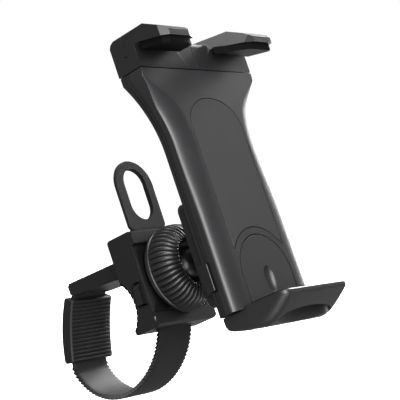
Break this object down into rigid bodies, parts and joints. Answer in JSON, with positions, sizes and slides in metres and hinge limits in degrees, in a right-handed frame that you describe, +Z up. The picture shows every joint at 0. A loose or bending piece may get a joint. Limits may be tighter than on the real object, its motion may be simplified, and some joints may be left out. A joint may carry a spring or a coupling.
{
  "type": "phone handlebar mount",
  "caption": "Phone and tablet cradle with spring-loaded upper jaws and a sliding foot, on a ball joint with a toothed-strap handlebar clamp.",
  "frame": {"origin": "centre of the handlebar in the clamp's saddle, at the middle of the clamp's width", "axes": "+X along the handlebar, to the rider's right as seen from the cradle's front; the cradle faces -Y; +Z up, with the mount leaning back 24 degrees"},
  "size_m": [0.08, 0.1383, 0.1727],
  "materials": {
    "housing_plastic": "moulded ABS, satin black",
    "shell_plastic": "moulded ABS, fine satin, charcoal",
    "rear_plastic": "moulded ABS, black",
    "jaw_plastic": "moulded ABS, satin black",
    "nut_plastic": "moulded nylon, ribbed, satin",
    "ball_plastic": "moulded nylon",
    "lever_plastic": "moulded acetal",
    "strap_rubber": "moulded TPU strap",
    "sleeve_rubber": "moulded rubber, ribbed",
    "soft_rubber": "moulded silicone rubber",
    "inlay_rubber": "moulded rubber sheet, fine matte",
    "zinc_steel": "zinc-plated steel",
    "spring_steel": "drawn steel wire"
  },
  "bodies": {
    "clamp": {"clamp_body": "housing_plastic", "clamp_cover": "housing_plastic", "housing_screws": "zinc_steel", "saddle_liner": "soft_rubber", "strap": "strap_rubber", "strap_pin": "zinc_steel", "lever_pin_left": "zinc_steel", "lever_pin_right": "zinc_steel", "lever_spring_left": "spring_steel", "lever_spring_right": "spring_steel"},
    "sleeve": {"strap_sleeve": "sleeve_rubber"},
    "lever_left": {"release_lever_left": "lever_plastic"},
    "lever_right": {"release_lever_right": "lever_plastic"},
    "nut": {"locking_nut": "nut_plastic"},
    "ball": {"ball": "ball_plastic"},
    "stem": {"ball_stem": "ball_plastic", "swivel_washer": "zinc_steel", "swivel_screw": "zinc_steel"},
    "cradle": {"adapter_plate": "housing_plastic", "plate_screws": "zinc_steel", "front_shell": "shell_plastic", "rear_shell": "rear_plastic", "shell_screws": "zinc_steel", "front_inlay": "inlay_rubber", "button_spring": "spring_steel", "extension_spring_left": "spring_steel", "extension_spring_right": "spring_steel"},
    "button": {"release_button": "lever_plastic"},
    "foot": {"foot": "shell_plastic", "foot_pad": "soft_rubber"},
    "carriage": {"carriage": "rear_plastic", "jaw_left": "jaw_plastic", "jaw_right": "jaw_plastic", "jaw_pad_left": "soft_rubber", "jaw_pad_right": "soft_rubber", "jaw_screws": "zinc_steel"}
  },
  "joints": [
    {"name": "sleeve_slide", "type": "hinge", "parent": "clamp", "child": "sleeve", "pos_m": [0, -0.04662, -0.00891], "axis": [1, 0, 0], "range_deg": [-1.4, 0]},
    {"name": "lever_left_press", "type": "hinge", "parent": "clamp", "child": "lever_left", "pos_m": [-0.01725, -0.01714, 0.01682], "axis": [0, -0.9135, 0.4067], "range_deg": [0, 7], "stiffness_Nm_per_rad": 0.05, "springref_deg": -11.46, "deforming": ["lever_spring_left"]},
    {"name": "lever_right_press", "type": "hinge", "parent": "clamp", "child": "lever_right", "pos_m": [0.01725, -0.01714, 0.01682], "axis": [0, 0.9135, -0.4067], "range_deg": [0, 7], "stiffness_Nm_per_rad": 0.05, "springref_deg": -11.46, "deforming": ["lever_spring_right"]},
    {"name": "nut_turn", "type": "hinge", "parent": "clamp", "child": "nut", "pos_m": [0, -0.02799, 0.02368], "axis": [0, -0.9135, 0.4067], "range_deg": [-30, 330]},
    {"name": "ball_tilt", "type": "hinge", "parent": "clamp", "child": "ball", "pos_m": [0, -0.02799, 0.02368], "axis": [1, 0, 0], "range_deg": [-20, 20]},
    {"name": "ball_pan", "type": "hinge", "parent": "ball", "child": "stem", "pos_m": [0, -0.02799, 0.02368], "axis": [0, 0.4067, 0.9135], "range_deg": [-20, 20]},
    {"name": "cradle_turn", "type": "hinge", "parent": "stem", "child": "cradle", "pos_m": [0, -0.04964, 0.03332], "axis": [0, -0.9135, 0.4067], "range_deg": [-180, 180]},
    {"name": "carriage_slide", "type": "slide", "parent": "cradle", "child": "carriage", "axis": [0, 0.4067, 0.9135], "range_m": [0, 0.06], "stiffness_N_per_m": 120, "springref_m": -0.03, "deforming": ["extension_spring_left", "extension_spring_right"]},
    {"name": "foot_slide", "type": "slide", "parent": "cradle", "child": "foot", "axis": [0, -0.4067, -0.9135], "range_m": [0, 0.025]},
    {"name": "button_press", "type": "slide", "parent": "cradle", "child": "button", "axis": [1, 0, 0], "range_m": [0, 0.0016], "stiffness_N_per_m": 900, "springref_m": -0.001, "deforming": ["button_spring"]}
  ]
}
